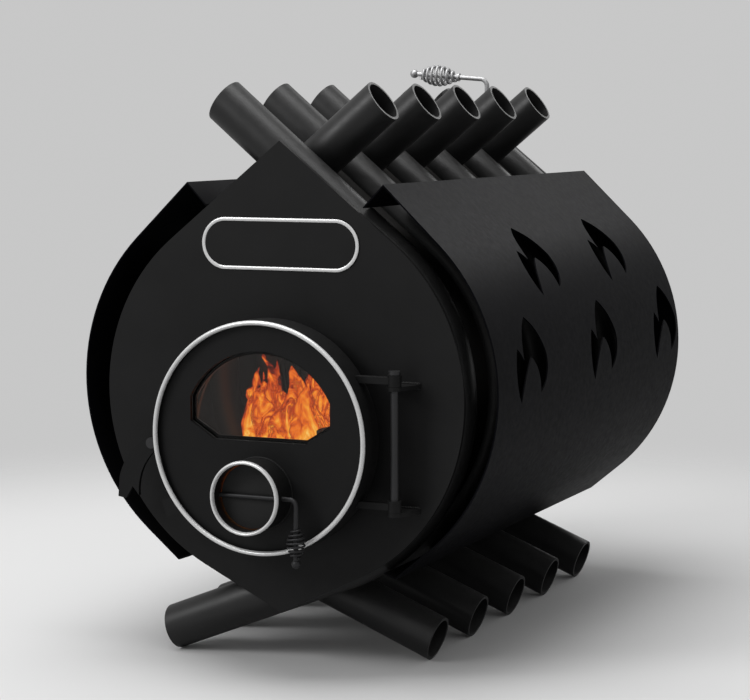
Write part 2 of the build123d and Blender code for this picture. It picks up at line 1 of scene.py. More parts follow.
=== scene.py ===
import bmesh
import bpy
from math import atan2, cos, pi, radians, sin
from mathutils import Euler, Matrix, Vector, noise


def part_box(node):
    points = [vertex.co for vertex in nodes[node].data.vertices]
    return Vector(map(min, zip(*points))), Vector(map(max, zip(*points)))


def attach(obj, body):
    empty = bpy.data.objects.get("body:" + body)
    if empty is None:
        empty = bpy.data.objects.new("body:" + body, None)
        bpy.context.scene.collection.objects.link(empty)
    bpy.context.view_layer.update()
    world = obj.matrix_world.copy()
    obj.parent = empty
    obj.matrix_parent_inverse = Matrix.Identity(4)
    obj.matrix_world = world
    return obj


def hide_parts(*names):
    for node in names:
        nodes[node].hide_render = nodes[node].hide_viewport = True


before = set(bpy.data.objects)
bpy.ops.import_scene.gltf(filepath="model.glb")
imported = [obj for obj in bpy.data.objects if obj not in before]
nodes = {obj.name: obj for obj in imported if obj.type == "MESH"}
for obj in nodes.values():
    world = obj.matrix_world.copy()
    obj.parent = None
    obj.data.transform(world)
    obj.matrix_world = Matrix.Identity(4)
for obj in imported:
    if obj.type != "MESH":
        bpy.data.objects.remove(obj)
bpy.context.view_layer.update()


# Studio
# A pale floor lies under the stove and melts into a grey backdrop, as paper does on a sweep.
# The floor is a flat disc that fades out all round, and keeps the stove's soft shadow.
backdrop_grey = 0.575
floor_grey = 0.72
floor_grey_lit = 0.42
floor_radius = 9.0
floor_solid_radius = 0.75
floor_clear_radius = 1.9
floor_sides = 96
room_strength = 0.36
glossy_share = 0.1
sharp_angle = radians(40)

# A Mix node has sockets of the same name for each kind of value, so they are reached by number.
mix_share = 0
vector_a, vector_b, mixed_vector = 4, 5, 1
colour_a, colour_b, mixed_colour = 6, 7, 2


def new_mesh_object(name, shape):
    """Turn a bmesh into an object at the origin, smooth but for its sharp edges."""
    mesh = bpy.data.meshes.new(name)
    for face in shape.faces:
        face.smooth = True
    shape.to_mesh(mesh)
    shape.free()
    mesh.set_sharp_from_angle(angle=sharp_angle)
    piece = bpy.data.objects.new(name, mesh)
    bpy.context.scene.collection.objects.link(piece)
    return piece


def new_material(name):
    """A material, its node tree and its Principled BSDF."""
    material = bpy.data.materials.new(name)
    material.use_nodes = True
    tree = material.node_tree
    return material, tree, tree.nodes["Principled BSDF"]


def add_node(tree, kind, **settings):
    """A new node, with each setting on the socket of that name or else on the node itself."""
    node = tree.nodes.new(kind)
    for key, value in settings.items():
        if key in node.inputs:
            node.inputs[key].default_value = value
        else:
            setattr(node, key, value)
    return node


def remap(tree, from_min, from_max, to_min=0.0, to_max=1.0, **settings):
    """A node that maps one range of values to another."""
    node = add_node(tree, "ShaderNodeMapRange", **settings)
    node.inputs["From Min"].default_value = from_min
    node.inputs["From Max"].default_value = from_max
    node.inputs["To Min"].default_value = to_min
    node.inputs["To Max"].default_value = to_max
    return node


def wire(tree, *links):
    """Link nodes, each link given as a node and its output, then a node and its input."""
    for source, output, target, socket in links:
        tree.links.new(source.outputs[output], target.inputs[socket])


def grey(level):
    """A neutral colour of one level."""
    return (level, level, level, 1)


shape = bmesh.new()
bmesh.ops.create_circle(shape, cap_ends=True, radius=floor_radius, segments=floor_sides)
floor = new_mesh_object("studio_floor", shape)

floor_paper, tree, paper = new_material("floor_paper")
paper.inputs["Roughness"].default_value = 0.9
paper.inputs["Specular IOR Level"].default_value = 0.1
seen = add_node(tree, "ShaderNodeLightPath")
straight = add_node(tree, "ShaderNodeMath", operation="MAXIMUM")
paper_tone = add_node(tree, "ShaderNodeMix", data_type="RGBA")
paper_tone.inputs[colour_a].default_value = grey(floor_grey_lit)
paper_tone.inputs[colour_b].default_value = grey(floor_grey)
place = add_node(tree, "ShaderNodeTexCoord")
away = add_node(tree, "ShaderNodeVectorMath", operation="LENGTH")
fade = remap(tree, floor_solid_radius, floor_clear_radius, interpolation_type="SMOOTHERSTEP")
clear = add_node(tree, "ShaderNodeBsdfTransparent")
blend_out = add_node(tree, "ShaderNodeMixShader")
wire(tree,
     (seen, "Is Camera Ray", straight, 0),
     (seen, "Is Transmission Ray", straight, 1),
     (straight, "Value", paper_tone, mix_share),
     (paper_tone, mixed_colour, paper, "Base Color"),
     (place, "Object", away, 0),
     (away, "Value", fade, "Value"),
     (fade, "Result", blend_out, "Fac"),
     (paper, "BSDF", blend_out, 1),
     (clear, "BSDF", blend_out, 2),
     (blend_out, "Shader", tree.nodes["Material Output"], "Surface"))
floor.data.materials.append(floor_paper)

world = bpy.data.worlds.new("studio")
bpy.context.scene.world = world
world.use_nodes = True
tree = world.node_tree
room_light = tree.nodes["Background"]
room_light.inputs["Color"].default_value = grey(1)
room_light.inputs["Strength"].default_value = room_strength
backdrop = add_node(tree, "ShaderNodeBackground", Color=grey(backdrop_grey))
seen = add_node(tree, "ShaderNodeLightPath")
glossy_part = add_node(tree, "ShaderNodeMath", operation="MULTIPLY")
glossy_part.inputs[1].default_value = glossy_share
camera_or_glossy = add_node(tree, "ShaderNodeMath", operation="MAXIMUM")
or_through_glass = add_node(tree, "ShaderNodeMath", operation="MAXIMUM")
choose = add_node(tree, "ShaderNodeMixShader")
wire(tree,
     (seen, "Is Glossy Ray", glossy_part, 0),
     (seen, "Is Camera Ray", camera_or_glossy, 0),
     (glossy_part, "Value", camera_or_glossy, 1),
     (camera_or_glossy, "Value", or_through_glass, 0),
     (seen, "Is Transmission Ray", or_through_glass, 1),
     (or_through_glass, "Value", choose, "Fac"),
     (room_light, "Background", choose, 1),
     (backdrop, "Background", choose, 2),
     (choose, "Shader", tree.nodes["World Output"], "Surface"))


# Camera
# A long lens stands to the right of the door, a little above the stove, and looks slightly down on it.
# Its place, its turn and its lens in mm come from the photograph's perspective.
lens = 107.3
sensor_width = 36
camera_at = (1.2294, -2.8234, 0.6857)
degrees_down = 5.99
degrees_left = 24.11

camera_data = bpy.data.cameras.new("camera")
camera_data.lens = lens
camera_data.sensor_width = sensor_width
camera = bpy.data.objects.new("camera", camera_data)
camera.location = camera_at
camera.rotation_euler = Euler((radians(90 - degrees_down), 0, radians(degrees_left)))
bpy.context.scene.collection.objects.link(camera)
bpy.context.scene.camera = camera
bpy.context.scene.view_settings.view_transform = "Standard"


# Lamps
# One broad lamp high at the front left models the plates, one over the top draws light along the tubes,
# and one behind skims the casing's upper edge. Each has its place, its aim, its side and its power in watts.
for name, place_at, look_at, side, power in (
        ("key_lamp", (-2.2, -2.9, 2.5), (0, 0, 0.35), 1.6, 54),
        ("top_lamp", (-0.35, -0.2, 3.1), (0, 0, 0.4), 2.2, 66),
        ("back_lamp", (0.9, 3.4, 2.6), (0, 0, 0.5), 1.6, 17)):
    lamp_data = bpy.data.lights.new(name, "AREA")
    lamp_data.size = side
    lamp_data.energy = power
    lamp = bpy.data.objects.new(name, lamp_data)
    lamp.location = place_at
    lamp.rotation_euler = (Vector(look_at) - Vector(place_at)).to_track_quat("-Z", "Y").to_euler()
    bpy.context.scene.collection.objects.link(lamp)


# Front and rear plates, casings
# Laser-cut steel sheet, sprayed with black stove enamel that cures to an even, semi-matt skin.
# It has a fine pebble, faint clouding where the coat is thicker, and a little pale dust on what faces up.
dust_colour = (0.19, 0.185, 0.18, 1)
pebble_depth = 0.00012


def new_effect(name, **inputs):
    """A node group with inputs of the given kinds, which gives a colour, a roughness and a normal."""
    group = bpy.data.node_groups.new(name, "ShaderNodeTree")
    for socket, kind in inputs.items():
        group.interface.new_socket(socket, in_out="INPUT", socket_type=f"NodeSocket{kind}")
    for socket, kind in (("Color", "Color"), ("Roughness", "Float"), ("Normal", "Vector")):
        group.interface.new_socket(socket, in_out="OUTPUT", socket_type=f"NodeSocket{kind}")
    return group, group.nodes.new("NodeGroupInput"), group.nodes.new("NodeGroupOutput")


def enamel_skin_group():
    """Pebble, clouding and dust of sprayed stove enamel."""
    group, enter, leave = new_effect("enamel_skin", Coat="Color", Dust="Float", Roughness="Float",
                                     Pebble="Float")
    where = add_node(group, "ShaderNodeTexCoord")
    pebble = add_node(group, "ShaderNodeTexNoise", Scale=950.0, Detail=2.0, Roughness=0.5)
    cloud = add_node(group, "ShaderNodeTexNoise", Scale=9.0, Detail=5.0, Roughness=0.62)
    spray = add_node(group, "ShaderNodeTexNoise", Scale=120.0, Detail=3.0, Roughness=0.6)
    shade = remap(group, from_min=0.3, from_max=0.7, to_min=0.8, to_max=1.2)
    clouded = add_node(group, "ShaderNodeMix", data_type="RGBA", blend_type="MULTIPLY")
    clouded.inputs[mix_share].default_value = 1.0
    surface = add_node(group, "ShaderNodeNewGeometry")
    split = add_node(group, "ShaderNodeSeparateXYZ")
    lying = remap(group, from_min=0.25, from_max=1.0)
    patch = add_node(group, "ShaderNodeMath", operation="MULTIPLY")
    amount = add_node(group, "ShaderNodeMath", operation="MULTIPLY")
    dusted = add_node(group, "ShaderNodeMix", data_type="RGBA")
    dusted.inputs[colour_b].default_value = dust_colour
    gloss = remap(group, from_min=0.25, from_max=0.75, to_min=-0.06, to_max=0.06)
    rough = add_node(group, "ShaderNodeMath", operation="ADD")
    bump = add_node(group, "ShaderNodeBump", Distance=pebble_depth)
    wire(group,
         (where, "Object", pebble, "Vector"),
         (where, "Object", cloud, "Vector"),
         (where, "Object", spray, "Vector"),
         (cloud, "Fac", shade, "Value"),
         (enter, "Coat", clouded, colour_a),
         (shade, "Result", clouded, colour_b),
         (surface, "Normal", split, "Vector"),
         (split, "Z", lying, "Value"),
         (lying, "Result", patch, 0),
         (spray, "Fac", patch, 1),
         (patch, "Value", amount, 0),
         (enter, "Dust", amount, 1),
         (amount, "Value", dusted, mix_share),
         (clouded, mixed_colour, dusted, colour_a),
         (dusted, mixed_colour, leave, "Color"),
         (spray, "Fac", gloss, "Value"),
         (enter, "Roughness", rough, 0),
         (gloss, "Result", rough, 1),
         (rough, "Value", leave, "Roughness"),
         (enter, "Pebble", bump, "Strength"),
         (pebble, "Fac", bump, "Height"),
         (bump, "Normal", leave, "Normal"))
    return group


enamel_skin = enamel_skin_group()


def dress(name, effect, **values):
    """A material that takes its colour, roughness and normal from an effect."""
    material, tree, surface = new_material(name)
    skin = add_node(tree, "ShaderNodeGroup", node_tree=effect, **values)
    wire(tree,
         (skin, "Color", surface, "Base Color"),
         (skin, "Roughness", surface, "Roughness"),
         (skin, "Normal", surface, "Normal"))
    return material, surface


def enamel(name, coat, roughness, dust, pebble, shine=0.22):
    """Black stove enamel on one kind of piece."""
    material, surface = dress(name, enamel_skin, Coat=(*coat, 1), Dust=dust, Roughness=roughness,
                              Pebble=pebble)
    surface.inputs["Specular IOR Level"].default_value = shine
    return material


def finish(material, *names):
    """Give carried-over pieces their finish, in the slots that they came with."""
    for name in names:
        for slot in nodes[name].material_slots:
            slot.material = material


plate_enamel = enamel("plate_enamel", coat=(0.0095, 0.0095, 0.0097), roughness=0.52, dust=0.1, pebble=0.35)
finish(plate_enamel, "front_plate", "rear_plate")

# The casings take a bluer, darker coat than the plates, with almost no shine. The blue tint is the enamel's
# own, but the extra darkness is painted shade for the stove's sides, which lie out of the lamps' light.
casing_enamel_painted_shade = enamel("casing_enamel_painted_shade", coat=(0.0046, 0.0046, 0.0058), roughness=0.42, dust=0.1, pebble=0.3,
                       shine=0.02)
finish(casing_enamel_painted_shade, "casing_left", "casing_right")


# Air tubes
# Drawn steel tube, bent cold round the firebox and cut off square, then enamelled with the plates.
# The coat is a little greyer and shinier than on the flat sheet.
tube_enamel = enamel("tube_enamel", coat=(0.012, 0.012, 0.0122), roughness=0.4, dust=0.15, pebble=0.45,
                     shine=0.5)
finish(tube_enamel, *(name for name in nodes if name.startswith("air_tube")))


# Firebox skin and smoke baffle
# Plain steel strips welded in between the tubes, and a loose plate over the fire.
# Their enamel burns off inside the fire, which leaves a soft grey-brown scale.
scale_steel = enamel("scale_steel", coat=(0.006, 0.0055, 0.005), roughness=0.68, dust=0.2, pebble=0.2,
                     shine=0.1)
finish(scale_steel, "smoke_baffle", *(name for name in nodes if name.startswith("skin_strip")))


# Fire bed
# Glowing charcoal and ash fill the trough over the tubes' lower bends, with split logs laid on it.
# The bed is a lumpy mound of small coals, and each log is a rough round split down its length.
bed_top = 0.192
bed_foot = 0.154
bed_front = -0.315
bed_back = 0.16
bed_half = 0.094
bed_foot_share = 0.56
bed_columns = 44
bed_rows = 110
coals_per_metre = 75
coal_rise = 0.006
mounds_per_metre = 28
mound_rise = 0.009


def colour_ramp(tree, *stops):
    """A ramp through two or more stops, each a position and a colour, from the lowest position up."""
    node = add_node(tree, "ShaderNodeValToRGB")
    elements = node.color_ramp.elements
    for element, (position, colour) in zip(elements, (stops[0], stops[-1])):
        element.position = position
        element.color = (*colour, 1)
    for position, colour in stops[1:-1]:
        elements.new(position).color = (*colour, 1)
    return node


shape = bmesh.new()
bmesh.ops.create_grid(shape, x_segments=bed_columns, y_segments=bed_rows, size=1)
bmesh.ops.scale(shape, vec=(bed_half, (bed_back - bed_front) / 2, 1), verts=shape.verts)
bmesh.ops.translate(shape, vec=(0, (bed_front + bed_back) / 2, bed_top), verts=shape.verts)
under = bmesh.ops.extrude_face_region(shape, geom=shape.faces[:])["geom"]
under_verts = {item for item in under if isinstance(item, bmesh.types.BMVert)}
for vert in shape.verts:
    if vert in under_verts:
        vert.co = (vert.co.x * bed_foot_share, vert.co.y, bed_foot)
    else:
        coal = noise.cell(vert.co * coals_per_metre) * coal_rise
        mound = noise.noise(vert.co * mounds_per_metre) * mound_rise
        vert.co.z += coal + mound
bmesh.ops.recalc_face_normals(shape, faces=shape.faces)
ember_bed = new_mesh_object("ember_bed", shape)
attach(ember_bed, "stove")

ember_crust, tree, crust = new_material("ember_crust")
crust.inputs["Roughness"].default_value = 0.95
crust.inputs["Emission Strength"].default_value = 1.6
where = add_node(tree, "ShaderNodeTexCoord")
warp = add_node(tree, "ShaderNodeTexNoise", Scale=40.0, Detail=4.0)
warped = add_node(tree, "ShaderNodeMix", data_type="VECTOR")
warped.inputs[mix_share].default_value = 0.06
cracks = add_node(tree, "ShaderNodeTexVoronoi", feature="DISTANCE_TO_EDGE", Scale=60.0)
glow = colour_ramp(tree, (0.0, (1.0, 0.32, 0.03)), (0.07, (0.75, 0.07, 0.004)), (0.16, (0, 0, 0)))
ash = add_node(tree, "ShaderNodeTexNoise", Scale=55.0, Detail=6.0, Roughness=0.7)
ash_tone = colour_ramp(tree, (0.42, (0.006, 0.005, 0.005)), (0.7, (0.28, 0.26, 0.24)))
crust_bump = add_node(tree, "ShaderNodeBump", Distance=0.004)
wire(tree,
     (where, "Object", warp, "Vector"),
     (where, "Object", warped, vector_a),
     (warp, "Color", warped, vector_b),
     (warped, mixed_vector, cracks, "Vector"),
     (cracks, "Distance", glow, "Fac"),
     (where, "Object", ash, "Vector"),
     (ash, "Fac", ash_tone, "Fac"),
     (ash_tone, "Color", crust, "Base Color"),
     (glow, "Color", crust, "Emission Color"),
     (ash, "Fac", crust_bump, "Height"),
     (crust_bump, "Normal", crust, "Normal"))
ember_bed.data.materials.append(ember_crust)


def grow_body(shape, places, segments):
    """A closed body whose round section passes through each place in turn."""
    start = bmesh.ops.create_circle(shape, cap_ends=True, radius=1, segments=segments, matrix=places[0])
    end_face = start["verts"][0].link_faces[0]
    for before, after in zip(places, places[1:]):
        grown = bmesh.ops.extrude_face_region(shape, geom=[end_face])["geom"]
        end_face = next(item for item in grown if isinstance(item, bmesh.types.BMFace))
        bmesh.ops.transform(shape, matrix=after @ before.inverted(), verts=list(end_face.verts))


log_wood, tree, wood = new_material("log_wood")
wood.inputs["Roughness"].default_value = 0.9
wood.inputs["Emission Strength"].default_value = 1.2
where = add_node(tree, "ShaderNodeTexCoord")
stretch = add_node(tree, "ShaderNodeMapping", Scale=(90, 12, 90))
grain = add_node(tree, "ShaderNodeTexNoise", Scale=1.0, Detail=5.0, Roughness=0.65)
char = add_node(tree, "ShaderNodeTexNoise", Scale=26.0, Detail=4.0)
wood_tone = colour_ramp(tree, (0.35, (0.012, 0.008, 0.006)), (0.72, (0.16, 0.085, 0.04)))
burning = colour_ramp(tree, (0.6, (0, 0, 0)), (0.75, (1.0, 0.2, 0.015)))
wood_bump = add_node(tree, "ShaderNodeBump", Distance=0.003)
wire(tree,
     (where, "Object", stretch, "Vector"),
     (stretch, "Vector", grain, "Vector"),
     (where, "Object", char, "Vector"),
     (grain, "Fac", wood_tone, "Fac"),
     (wood_tone, "Color", wood, "Base Color"),
     (char, "Fac", burning, "Fac"),
     (burning, "Color", wood, "Emission Color"),
     (grain, "Fac", wood_bump, "Height"),
     (wood_bump, "Normal", wood, "Normal"))

log_rings = 12
log_sides = 18
log_flatness = 0.92
log_wobble = 0.07
log_wobble_rate = 5
log_sway = 0.003
log_sway_rate = 4
knots_per_metre = 45
knot_depth = 0.004
knot_shift = Vector((7, 0, 0))
split_share = 0.35
split_normal = (0.25, 0, 1)
lying = Euler((radians(-90), 0, 0)).to_quaternion()
for number, (x, z, radius, front, back, turn, roll) in enumerate((
        (-0.052, 0.222, 0.030, -0.30, -0.02, 4, 20),
        (0.048, 0.221, 0.031, -0.29, 0.03, -5, 200),
        (0.002, 0.262, 0.028, -0.28, 0.00, 9, 95)), 1):
    places = []
    for ring in range(log_rings + 1):
        along = ring / log_rings
        girth = radius * (1 + log_wobble * sin(log_wobble_rate * along + number))
        at = Vector((log_sway * sin(log_sway_rate * along + 2 * number), (front - back) * (0.5 - along), 0))
        places.append(Matrix.LocRotScale(at, lying, Vector((girth, girth * log_flatness, 1))))
    shape = bmesh.new()
    grow_body(shape, places, log_sides)
    for vert in shape.verts:
        vert.co.x += noise.noise(vert.co * knots_per_metre) * knot_depth
        vert.co.z += noise.noise(vert.co * knots_per_metre + knot_shift) * knot_depth
    cut = bmesh.ops.bisect_plane(shape, geom=shape.verts[:] + shape.edges[:] + shape.faces[:],
                                 plane_co=(0, 0, radius * split_share), plane_no=split_normal,
                                 clear_outer=True)
    rim = [item for item in cut["geom_cut"] if isinstance(item, bmesh.types.BMEdge)]
    bmesh.ops.holes_fill(shape, edges=rim)
    bmesh.ops.rotate(shape, verts=shape.verts, matrix=Matrix.Rotation(radians(roll), 3, "Y"))
    bmesh.ops.rotate(shape, verts=shape.verts, matrix=Matrix.Rotation(radians(turn), 3, "Z"))
    bmesh.ops.translate(shape, vec=(x, (front + back) / 2, z), verts=shape.verts)
    bmesh.ops.recalc_face_normals(shape, faces=shape.faces)
    split_log = new_mesh_object(f"split_log_{number}", shape)
    split_log.data.materials.append(log_wood)
    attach(split_log, "stove")


# Flames
# Tongues of flame stand on the logs and lean into one another, each a thin swaying body that glows.
# Holes in the glow let the dark firebox show between them, and they pale towards their hot middle.
flame_glow, tree, flame = new_material("flame_glow")
flame.inputs["Base Color"].default_value = grey(0)
flame.inputs["Roughness"].default_value = 1.0
flame.inputs["Specular IOR Level"].default_value = 0.0
flame.inputs["Emission Strength"].default_value = 1.0
where = add_node(tree, "ShaderNodeTexCoord")
stretch = add_node(tree, "ShaderNodeMapping", Scale=(1, 1, 0.5))
licks = add_node(tree, "ShaderNodeTexNoise", Scale=50.0, Detail=6.0, Roughness=0.58, Distortion=1.9)
level = add_node(tree, "ShaderNodeSeparateXYZ")
cooling = remap(tree, from_min=0.24, from_max=0.41, to_min=0.22, to_max=-0.09)
facing = add_node(tree, "ShaderNodeLayerWeight", Blend=0.35)
edge_fall = add_node(tree, "ShaderNodeMath", operation="MULTIPLY")
edge_fall.inputs[1].default_value = -0.3
lifted = add_node(tree, "ShaderNodeMath", operation="ADD")
heat = add_node(tree, "ShaderNodeMath", operation="ADD")
fire_colour = colour_ramp(tree, (0.40, (0.10, 0.006, 0.004)), (0.49, (0.4, 0.035, 0.006)),
                          (0.58, (0.8, 0.15, 0.012)), (0.69, (0.95, 0.36, 0.03)), (0.84, (1.0, 0.78, 0.24)))
holes = remap(tree, from_min=0.38, from_max=0.52, interpolation_type="SMOOTHSTEP")
wire(tree,
     (where, "Object", stretch, "Vector"),
     (stretch, "Vector", licks, "Vector"),
     (where, "Object", level, "Vector"),
     (level, "Z", cooling, "Value"),
     (facing, "Facing", edge_fall, 0),
     (licks, "Fac", lifted, 0),
     (cooling, "Result", lifted, 1),
     (lifted, "Value", heat, 0),
     (edge_fall, "Value", heat, 1),
     (heat, "Value", fire_colour, "Fac"),
     (heat, "Value", holes, "Value"),
     (fire_colour, "Color", flame, "Emission Color"),
     (holes, "Result", flame, "Alpha"))

flame_rings = 16
flame_sides = 20
flame_foot = 0.236
flame_flatness = 0.55
tip_girth = 0.02
foot_phase = 0.12
belly_power = 0.75
sway_rate = 2.4 * pi
depth_sway_share = 0.4
depth_sway_rate = 5
twist = 0.9
ruffles_per_metre = 55
ruffle_depth = 0.006
ruffle_shift = Vector((3, 9, 0))
for number, (x, y, height, width, lean) in enumerate((
        (-0.098, -0.246, 0.118, 0.022, 0.010), (-0.070, -0.262, 0.126, 0.031, -0.010),
        (-0.034, -0.270, 0.130, 0.031, 0.012), (0.002, -0.272, 0.132, 0.031, -0.012),
        (0.034, -0.262, 0.132, 0.029, 0.012), (0.064, -0.250, 0.112, 0.026, 0.008),
        (0.088, -0.225, 0.080, 0.020, -0.006), (0.052, -0.292, 0.100, 0.026, 0.010),
        (-0.108, -0.215, 0.142, 0.014, 0.016), (-0.086, -0.190, 0.128, 0.030, -0.012),
        (-0.046, -0.180, 0.140, 0.032, 0.012), (-0.004, -0.195, 0.136, 0.032, -0.010),
        (0.040, -0.185, 0.140, 0.030, 0.010)), 1):
    places = []
    for ring in range(flame_rings + 1):
        rise = ring / flame_rings
        girth = width * max(tip_girth, sin(pi * (foot_phase + (1 - foot_phase) * rise) ** belly_power))
        sway = lean * sin(sway_rate * rise + number) * rise + lean * rise
        depth_sway = depth_sway_share * lean * sin(depth_sway_rate * rise + number)
        at = Vector((x + sway, y + depth_sway, flame_foot + height * rise))
        turned = Euler((0, 0, twist * rise + number)).to_quaternion()
        places.append(Matrix.LocRotScale(at, turned, Vector((girth, girth * flame_flatness, 1))))
    shape = bmesh.new()
    grow_body(shape, places, flame_sides)
    for vert in shape.verts:
        vert.co.x += noise.noise(vert.co * ruffles_per_metre) * ruffle_depth
        vert.co.y += noise.noise(vert.co * ruffles_per_metre + ruffle_shift) * ruffle_depth
    bmesh.ops.recalc_face_normals(shape, faces=shape.faces)
    tongue = new_mesh_object(f"flame_{number}", shape)
    tongue.data.materials.append(flame_glow)
    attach(tongue, "stove")


# Name plate
# A thin stadium of enamelled sheet, left bare, under a bright border of satin steel.
# The border is half-round bar, brushed along its length.
rim_profile_sides = 32
rim_steps = 182


def brushed_steel_group():
    """Fine brush lines and handling marks on bright steel."""
    group, enter, leave = new_effect("brushed_bright_steel", Metal="Color", Roughness="Float",
                                     Marks="Float")
    where = add_node(group, "ShaderNodeTexCoord")
    stretch = add_node(group, "ShaderNodeMapping", Scale=(40, 2200, 2200))
    lines = add_node(group, "ShaderNodeTexNoise", Scale=1.0, Detail=3.0, Roughness=0.6)
    marks = add_node(group, "ShaderNodeTexNoise", Scale=60.0, Detail=4.0, Roughness=0.6)
    tone = remap(group, from_min=0.3, from_max=0.7, to_min=0.86)
    toned = add_node(group, "ShaderNodeMix", data_type="RGBA", blend_type="MULTIPLY")
    toned.inputs[mix_share].default_value = 1.0
    handled = add_node(group, "ShaderNodeMath", operation="MULTIPLY")
    rough = add_node(group, "ShaderNodeMath", operation="ADD")
    bump = add_node(group, "ShaderNodeBump", Strength=0.25, Distance=0.00005)
    wire(group,
         (where, "Object", stretch, "Vector"),
         (stretch, "Vector", lines, "Vector"),
         (where, "Object", marks, "Vector"),
         (lines, "Fac", tone, "Value"),
         (enter, "Metal", toned, colour_a),
         (tone, "Result", toned, colour_b),
         (toned, mixed_colour, leave, "Color"),
         (marks, "Fac", handled, 0),
         (enter, "Marks", handled, 1),
         (enter, "Roughness", rough, 0),
         (handled, "Value", rough, 1),
         (rough, "Value", leave, "Roughness"),
         (lines, "Fac", bump, "Height"),
         (bump, "Normal", leave, "Normal"))
    return group


brushed_bright_steel = brushed_steel_group()


def bright_steel(name, metal, roughness, marks, metallic):
    """Brushed steel on one kind of piece."""
    material, surface = dress(name, brushed_bright_steel, Metal=(*metal, 1), Roughness=roughness,
                              Marks=marks)
    surface.inputs["Metallic"].default_value = metallic
    return material


def turn_round(shape, steps):
    """Sweep a profile once round the Y axis."""
    bmesh.ops.spin(shape, geom=shape.verts[:] + shape.edges[:], cent=(0, 0, 0), axis=(0, 1, 0), angle=2 * pi,
                   steps=steps, use_merge=True)


def rounded_rim(node, width, body, steel):
    """A half-round rim in place of a flat round or stadium rim, flush with its outer edge and its back."""
    low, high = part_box(node)
    end_r = (high[2] - low[2]) / 2
    half_straight = (high[0] - low[0]) / 2 - end_r
    shape = bmesh.new()
    bmesh.ops.create_circle(shape, radius=1, segments=rim_profile_sides)
    bmesh.ops.scale(shape, vec=(width / 2, high[1] - low[1], 1), verts=shape.verts)
    cut = bmesh.ops.bisect_plane(shape, geom=shape.verts[:] + shape.edges[:], plane_co=(0, 0, 0),
                                 plane_no=(0, 1, 0), clear_outer=True)
    ends = [item for item in cut["geom_cut"] if isinstance(item, bmesh.types.BMVert)]
    bmesh.ops.contextual_create(shape, geom=ends)
    bmesh.ops.translate(shape, vec=(end_r - width / 2, 0, 0), verts=shape.verts)
    turn_round(shape, rim_steps)
    for side in (-1, 1):
        half = [vert for vert in shape.verts if vert.co.x * side > 0]
        bmesh.ops.translate(shape, vec=(side * half_straight, 0, 0), verts=half)
    centre = ((high[0] + low[0]) / 2, high[1], (high[2] + low[2]) / 2)
    bmesh.ops.translate(shape, vec=centre, verts=shape.verts)
    bmesh.ops.recalc_face_normals(shape, faces=shape.faces)
    rim = new_mesh_object(f"{node}_rounded", shape)
    rim.data.materials.append(steel)
    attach(rim, body)
    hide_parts(node)


ring_steel = bright_steel("ring_steel", metal=(0.97, 0.97, 0.97), roughness=0.2, marks=0.12, metallic=0.3)
finish(plate_enamel, "name_plate")
finish(ring_steel, "name_plate_border")
rounded_rim("name_plate_border", 0.0044, "stove", ring_steel)


# Door
# A pressed disc in a rolled band, with a bright ring of bar round its front.
# It closes on a collar on the front plate. Disc, band and collar are enamelled, and the ring is satin steel.
door_enamel = enamel("door_enamel", coat=(0.0075, 0.0075, 0.0077), roughness=0.5, dust=0.08, pebble=0.35)
finish(door_enamel, "door_disc", "door_band", "door_collar", "rope_channel", "latch_lug")
finish(ring_steel, "door_trim_ring")
rounded_rim("door_trim_ring", 0.0058, "door", ring_steel)


# Window
# A pane of glass-ceramic behind an arch in the disc, clamped by a frame and six screws on a flat seal.
# It is clear with a faint smoke tint.
pane, tree, glass = new_material("glass_ceramic")
glass.inputs["Base Color"].default_value = (0.93, 0.9, 0.86, 1)
glass.inputs["Roughness"].default_value = 0.03
glass.inputs["Transmission Weight"].default_value = 1.0
glass.inputs["IOR"].default_value = 1.35
finish(pane, "window_glass")
finish(door_enamel, "window_frame")


# Seals
# Braided glass rope in the door's channel and a woven flat seal under the pane, grey with soot.
# The rope's strands run round it both ways and cross over one another.
rope_weave, tree, rope = new_material("rope_weave")
rope.inputs["Roughness"].default_value = 0.95
where = add_node(tree, "ShaderNodeTexCoord")
braid = add_node(tree, "ShaderNodeTexWave", wave_type="BANDS", bands_direction="DIAGONAL", Scale=380.0,
                 Distortion=1.5)
soot = add_node(tree, "ShaderNodeTexNoise", Scale=70.0, Detail=4.0)
shade = colour_ramp(tree, (0.0, (0.02, 0.019, 0.018)), (1.0, (0.13, 0.125, 0.12)))
bump = add_node(tree, "ShaderNodeBump", Strength=0.6, Distance=0.0006)
wire(tree,
     (where, "Object", braid, "Vector"),
     (where, "Object", soot, "Vector"),
     (soot, "Fac", shade, "Fac"),
     (shade, "Color", rope, "Base Color"),
     (braid, "Fac", bump, "Height"),
     (bump, "Normal", rope, "Normal"))
finish(rope_weave, "door_rope_seal", "window_seal")

strands = 4
crossings = 118
steps_per_crossing = 6
rope_sides = 32
weave_depth = 0.13


def place_on_ring(vert, ring_r):
    """How far round the Y axis a vertex lies, and the middle of the ring's section there."""
    turn = atan2(vert.co.z, vert.co.x)
    return turn, Vector((ring_r * cos(turn), 0, ring_r * sin(turn)))


low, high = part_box("door_rope_seal")
rope_r = (high[1] - low[1]) / 2
rope_ring_r = (high[0] - low[0]) / 2 - rope_r
shape = bmesh.new()
bmesh.ops.create_circle(shape, radius=rope_r, segments=rope_sides,
                        matrix=Matrix.Translation((rope_ring_r, 0, 0)))
turn_round(shape, crossings * steps_per_crossing)
for vert in shape.verts:
    turn, middle = place_on_ring(vert, rope_ring_r)
    spoke = vert.co - middle
    roll = atan2(spoke.y, spoke.dot(middle.normalized()))
    over = max(sin(strands * roll + crossings * turn), sin(strands * roll - crossings * turn))
    vert.co = middle + spoke * (1 - weave_depth * (1 - over) / 2)
bmesh.ops.translate(shape, vec=(Vector(low) + Vector(high)) / 2, verts=shape.verts)
bmesh.ops.recalc_face_normals(shape, faces=shape.faces)
braided_rope = new_mesh_object("braided_rope", shape)
braided_rope.data.materials.append(rope_weave)
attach(braided_rope, "door")
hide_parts("door_rope_seal")


